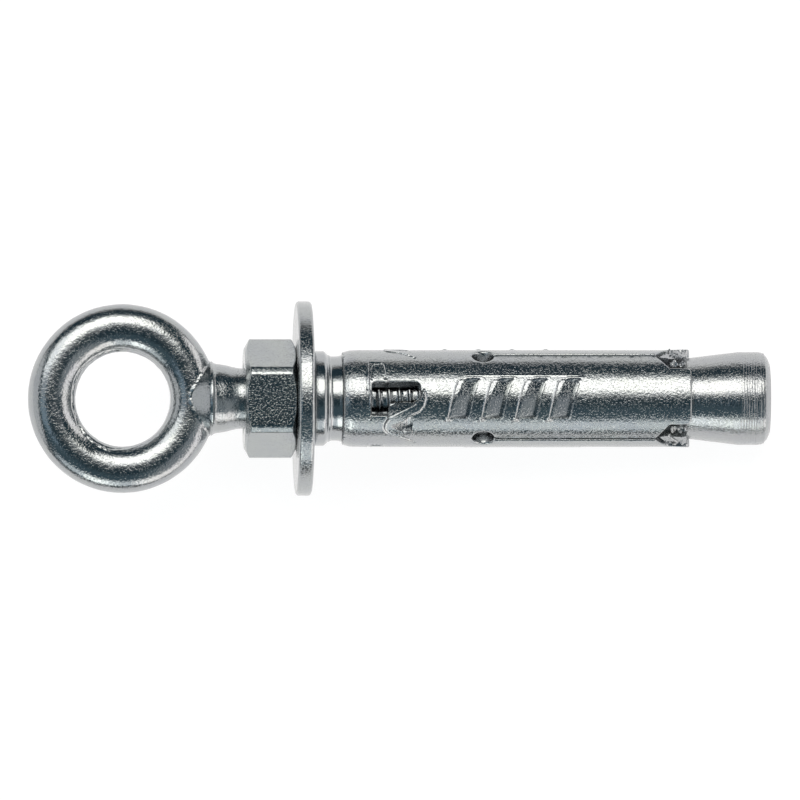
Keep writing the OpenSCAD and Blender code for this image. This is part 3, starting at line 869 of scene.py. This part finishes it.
def zinc(name, tint, rough, grain, grit, marks=0.0, mottled=0.06):
    """Bright zinc on steel. grain, grit and marks are the depths of the fine grain, of scattered specks and of turning lines, in micrometres."""
    m = bpy.data.materials.new(name)
    m.use_nodes = True
    nt = m.node_tree
    nt.nodes.clear()
    N, L = nt.nodes.new, nt.links.new
    out = N("ShaderNodeOutputMaterial")
    bsdf = N("ShaderNodeBsdfPrincipled")
    bsdf.inputs["Metallic"].default_value = 1.0
    bsdf.inputs["Specular IOR Level"].default_value = 0.5
    L(bsdf.outputs[0], out.inputs[0])
    tc = N("ShaderNodeTexCoord")
    mp = N("ShaderNodeMapping")
    mp.inputs["Rotation"].default_value = (0, -TILT, 0)
    mp.inputs["Scale"].default_value = (1000, 1000, 1000)
    L(tc.outputs["Object"], mp.inputs["Vector"])
    P = mp.outputs[0]

    def tex(scale, detail, roughness, distortion=0.0, vec=P):
        n = N("ShaderNodeTexNoise")
        n.inputs["Scale"].default_value = scale
        n.inputs["Detail"].default_value = detail
        n.inputs["Roughness"].default_value = roughness
        n.inputs["Distortion"].default_value = distortion
        L(vec, n.inputs["Vector"])
        return n.outputs["Fac"]

    def ranged(x, a, b, c, d):
        n = N("ShaderNodeMapRange")
        for i, v in enumerate((a, b, c, d), 1):
            n.inputs[i].default_value = v
        L(x, n.inputs[0])
        return n.outputs[0]

    grainy = tex(3.3, 1.2, 0.6, 0.2)
    fine = tex(7.5, 1.0, 0.5)
    broad = tex(0.35, 3.0, 0.6)
    pits = N("ShaderNodeTexVoronoi")
    pits.inputs["Scale"].default_value = 1.7
    pits.inputs["Randomness"].default_value = 1.0
    L(P, pits.inputs["Vector"])
    pit = ranged(pits.outputs["Distance"], 0.0, 0.35, 1.0, 0.0)

    # colour: clouded zinc with a blue cast in patches
    mix = N("ShaderNodeMix")
    mix.data_type = "RGBA"
    mix.inputs[6].default_value = (*[c * (1 - mottled) for c in tint[:2]], tint[2] * (1 - mottled * 0.4), 1)
    mix.inputs[7].default_value = (*tint, 1)
    L(ranged(broad, 0.35, 0.65, 0.0, 1.0), mix.inputs[0])
    L(mix.outputs[2], bsdf.inputs["Base Color"])
    # roughness: cloudy, with specks that scatter more
    specks = ranged(tex(4.6, 1.5, 0.6), 0.54, 0.64, 0.0, 1.0)
    add = N("ShaderNodeMath")
    add.operation = "ADD"
    L(ranged(broad, 0.3, 0.7, rough - 0.03, rough + 0.03), add.inputs[0])
    L(ranged(fine, 0.3, 0.7, -0.03, 0.03), add.inputs[1])
    more = N("ShaderNodeMath")
    more.operation = "MULTIPLY_ADD"
    L(specks, more.inputs[0])
    more.inputs[1].default_value = 0.006 * grit
    L(add.outputs[0], more.inputs[2])
    L(more.outputs[0], bsdf.inputs["Roughness"])

    def bump(height, micrometres, below=None):
        n = N("ShaderNodeBump")
        n.inputs["Strength"].default_value = 1.0
        n.inputs["Distance"].default_value = micrometres * 1e-6
        L(height, n.inputs["Height"])
        if below is not None:
            L(below, n.inputs["Normal"])
        return n.outputs[0]

    nrm = bump(grainy, grain)
    nrm = bump(fine, grain * 0.16, nrm)
    nrm = bump(pit, -grain * 0.10, nrm)
    nrm = bump(specks, grit, nrm)
    if marks:
        sep = N("ShaderNodeSeparateXYZ")
        L(P, sep.inputs[0])
        yy = N("ShaderNodeMath"); yy.operation = "MULTIPLY"
        L(sep.outputs[1], yy.inputs[0]); L(sep.outputs[1], yy.inputs[1])
        zz = N("ShaderNodeMath"); zz.operation = "MULTIPLY"
        L(sep.outputs[2], zz.inputs[0]); L(sep.outputs[2], zz.inputs[1])
        ss = N("ShaderNodeMath"); ss.operation = "ADD"
        L(yy.outputs[0], ss.inputs[0]); L(zz.outputs[0], ss.inputs[1])
        rr = N("ShaderNodeMath"); rr.operation = "SQRT"
        L(ss.outputs[0], rr.inputs[0])
        comb = N("ShaderNodeCombineXYZ")
        L(sep.outputs[0], comb.inputs[0]); L(rr.outputs[0], comb.inputs[1])
        nrm = bump(tex(3.6, 3.0, 0.7, 0.0, comb.outputs[0]), marks, nrm)
    L(nrm, bsdf.inputs["Normal"])
    return m


MAT = {
    "forged_zinc": zinc("forged_zinc", (0.45, 0.47, 0.47), 0.14, 20, 6.8),
    "nut_zinc": zinc("nut_zinc", (0.45, 0.475, 0.47), 0.12, 20, 9.5),
    "washer_zinc": zinc("washer_zinc", (0.455, 0.475, 0.475), 0.16, 24, 10, 6),
    "collar_zinc": zinc("collar_zinc", (0.455, 0.475, 0.475), 0.13, 10, 3, 12),
    "sleeve_zinc": zinc("sleeve_zinc", (0.45, 0.47, 0.47), 0.15, 27, 9.8),
    "cone_zinc": zinc("cone_zinc", (0.46, 0.475, 0.475), 0.15, 14, 7.5, 48),
}

# ---------------------------------------------------------------- pieces

v, f = eye_bolt()
piece("eye_bolt_forged", v, f, "bolt", "eye_bolt", MAT["forged_zinc"], 36)
v, f = hex_nut()
piece("hex_nut_faced", v, f, "nut", "hex_nut", MAT["nut_zinc"], 30)
v, f = washer()
piece("washer_turned", v, f, "washer", "washer", MAT["washer_zinc"], 40)
v, f = collar()
piece("collar_turned", v, f, "collar", "collar", MAT["collar_zinc"], 40)
v, f = expansion_sleeve()
piece("sleeve_pressed", v, f, "sleeve", "expansion_sleeve", MAT["sleeve_zinc"], 38)
v, f = cone_nut()
piece("cone_nut_turned", v, f, "sleeve", "cone_nut", MAT["cone_zinc"], 30)

# ---------------------------------------------------------------- floor, light, camera

me = bpy.data.meshes.new("floor")
me.from_pydata([(-3, -3, -5e-5), (3, -3, -5e-5), (3, 3, -5e-5), (-3, 3, -5e-5)], [], [(0, 1, 2, 3)])
floor = bpy.data.objects.new("floor", me)
bpy.context.scene.collection.objects.link(floor)
fm = bpy.data.materials.new("pale_floor")
fm.use_nodes = True
fn, fl = fm.node_tree.nodes, fm.node_tree.links
fb = fn["Principled BSDF"]
fb.inputs["Base Color"].default_value = (0.25, 0.25, 0.25, 1)
fb.inputs["Roughness"].default_value = 0.9
fb.inputs["Specular IOR Level"].default_value = 0.0
fb.inputs["Emission Color"].default_value = (1, 1, 1, 1)
fb.inputs["Emission Strength"].default_value = 0.88
# what the metal mirrors: a painted pool of light, an emission on the floor that only reflected rays see, bright round
# the anchor and darkening away from it, more quickly above it than below
geo, sep = fn.new("ShaderNodeNewGeometry"), fn.new("ShaderNodeSeparateXYZ")
fl.new(geo.outputs["Position"], sep.inputs[0])
above, below = fn.new("ShaderNodeMapRange"), fn.new("ShaderNodeMapRange")
for n, vals, kind in ((above, (0.045, 0.150, 1.0, 0.18), "LINEAR"), (below, (-0.160, -0.075, 0.2, 1.0), "SMOOTHSTEP")):
    n.interpolation_type = kind
    for i, x in enumerate(vals, 1):
        n.inputs[i].default_value = x
    fl.new(sep.outputs[1], n.inputs[0])
both = fn.new("ShaderNodeMath")
both.operation = "MULTIPLY"
fl.new(above.outputs[0], both.inputs[0])
fl.new(below.outputs[0], both.inputs[1])
# painted pool of light: this emission stands in for the floor's light round the anchor in reflections, while camera
# rays get the even pale floor
painted_light_pool, lp, pick = fn.new("ShaderNodeEmission"), fn.new("ShaderNodeLightPath"), fn.new("ShaderNodeMixShader")
painted_light_pool.inputs[0].default_value = (1.0, 0.99, 0.985, 1)
fl.new(both.outputs[0], painted_light_pool.inputs[1])
fl.new(lp.outputs["Is Camera Ray"], pick.inputs[0])
fl.new(painted_light_pool.outputs[0], pick.inputs[1])
fl.new(fb.outputs[0], pick.inputs[2])
fl.new(pick.outputs[0], fn["Material Output"].inputs[0])
me.materials.append(fm)

LEAN = math.radians(2.75)                       # how far the camera looks at the eye's side
A = TILT - LEAN
EYE = Vector((math.sin(A), 0, math.cos(A)))     # from the anchor towards the camera
SIDE = Vector((math.cos(A), 0, -math.sin(A)))   # to the right in the picture

world = bpy.data.worlds.new("studio")
bpy.context.scene.world = world
world.use_nodes = True
nt = world.node_tree
nt.nodes.clear()
N, L = nt.nodes.new, nt.links.new
wo = N("ShaderNodeOutputWorld")
bg = N("ShaderNodeBackground")
L(bg.outputs[0], wo.inputs[0])
tc = N("ShaderNodeTexCoord")


def dot(vec):
    n = N("ShaderNodeVectorMath")
    n.operation = "DOT_PRODUCT"
    L(tc.outputs["Generated"], n.inputs[0])
    n.inputs[1].default_value = tuple(vec)
    return n.outputs["Value"]


def math_node(op, a, b=None):
    n = N("ShaderNodeMath")
    n.operation = op
    for i, x in enumerate((a, b)):
        if x is None:
            continue
        if isinstance(x, (int, float)):
            n.inputs[i].default_value = x
        else:
            L(x, n.inputs[i])
    return n.outputs[0]


def step(x, a, b):
    n = N("ShaderNodeMapRange")
    n.interpolation_type = "SMOOTHSTEP"
    n.inputs[1].default_value, n.inputs[2].default_value = a, b
    L(x, n.inputs[0])
    return n.outputs[0]


def mixed(f, a, b):
    n = N("ShaderNodeMix")
    n.data_type = "RGBA"
    L(f, n.inputs[0])
    for i, x in ((6, a), (7, b)):
        if isinstance(x, tuple):
            n.inputs[i].default_value = (*x, 1)
        else:
            L(x, n.inputs[i])
    return n.outputs[2]


BRIGHT = 4.0
psi = math_node("MULTIPLY", math_node("ARCTAN2", dot((0, 1, 0)), dot(EYE)), 180 / math.pi)
lat = math_node("MULTIPLY", math_node("ARCSINE", dot(SIDE)), 180 / math.pi)
pos = math_node("DIVIDE", math_node("ADD", psi, 180.0), 360.0)


def tone(*c):
    return tuple(x / BRIGHT for x in c)


def bands(stops):
    n = N("ShaderNodeValToRGB")
    cr = n.color_ramp
    cr.interpolation = "LINEAR"
    for i, (deg, col) in enumerate(stops):
        e = cr.elements[i] if i < 2 else cr.elements.new((deg + 180) / 360)
        e.position = (deg + 180) / 360
        e.color = (*[c / BRIGHT for c in col], 1)
    L(pos, n.inputs[0])
    return n.outputs[0]


DARK = (0.028, 0.055, 0.070)
DEEP = (0.026, 0.050, 0.066)
DUSK = (0.070, 0.115, 0.140)
SOFT = (2.8, 2.72, 2.56)
EDGE = (0.90, 0.92, 0.92)
LOW = (0.88, 0.95, 0.98)
CONE = (2.45, 2.52, 2.42)


def sky_of(low, mid, soft, high):
    return bands([(-180, DARK), (-90, DARK), (-84, DARK), (-81, low), (-59, low), (-50, DUSK), (-24, DUSK), (-17, mid),
                  (-3, mid), (3, [0.12 + 0.5 * x for x in mid]), (8, [0.38 + 0.3 * x for x in mid]), (13, EDGE), (18, soft),
                  (45, soft), (51, EDGE), (57, (0.28, 0.31, 0.32)), (64, high), (179, high)])


middle = sky_of(LOW, DARK, SOFT, DEEP)
cone = sky_of(CONE, DARK, SOFT, DEEP)
inner = sky_of((2.2, 2.13, 2.02), DARK, SOFT, DEEP)
left = sky_of((0.8, 0.88, 0.92), (0.30, 0.40, 0.48), (1.7, 1.72, 1.7), DEEP)
right = bands([(-180, (1.7, 1.62, 1.56)), (-62, (1.7, 1.62, 1.56)), (-52, (0.34, 0.37, 0.39)), (-8, (0.32, 0.35, 0.37)),
               (4, DARK), (90, DARK), (179, DARK)])
sky = mixed(step(lat, -2.0, -7.0), middle, cone)
sky = mixed(step(lat, 9.0, 15.0), sky, inner)
sky = mixed(step(lat, -17.0, -25.0), sky, left)
sky = mixed(step(lat, -42.0, -48.0), sky, tone(*DARK))
sky = mixed(step(lat, -53.0, -60.0), sky, tone(0.74, 0.75, 0.76))
sky = mixed(step(lat, 14.0, 22.0), sky, right)
sky = mixed(step(lat, 42.0, 47.0), sky, tone(1.5, 1.43, 1.4))
sky = mixed(step(lat, 58.0, 86.0), sky, tone(0.55, 0.56, 0.57))
path = N("ShaderNodeLightPath")
L(mixed(path.outputs["Is Camera Ray"], sky, tone(0.86, 0.87, 0.88)), bg.inputs[0])
bg.inputs[1].default_value = BRIGHT

scene = bpy.context.scene
scene.view_settings.view_transform = "Standard"
scene.view_settings.look = "None"

cam_data = bpy.data.cameras.new("camera")
cam = bpy.data.objects.new("camera", cam_data)
scene.collection.objects.link(cam)
scene.camera = cam
DIST = 3.0
FRAME_WIDTH = 0.800 / 8.18
cam_data.sensor_width = 36.0
cam_data.lens = 36.0 * DIST / FRAME_WIDTH
cam_data.clip_start, cam_data.clip_end = 0.05, 20
aim = Vector(laid([[10.88, -0.183, 0.0]])[0])
cam.matrix_world = Matrix((
    (SIDE.x, 0, EYE.x, aim.x + EYE.x * DIST),
    (SIDE.y, 1, EYE.y, aim.y + EYE.y * DIST),
    (SIDE.z, 0, EYE.z, aim.z + EYE.z * DIST),
    (0, 0, 0, 1)))
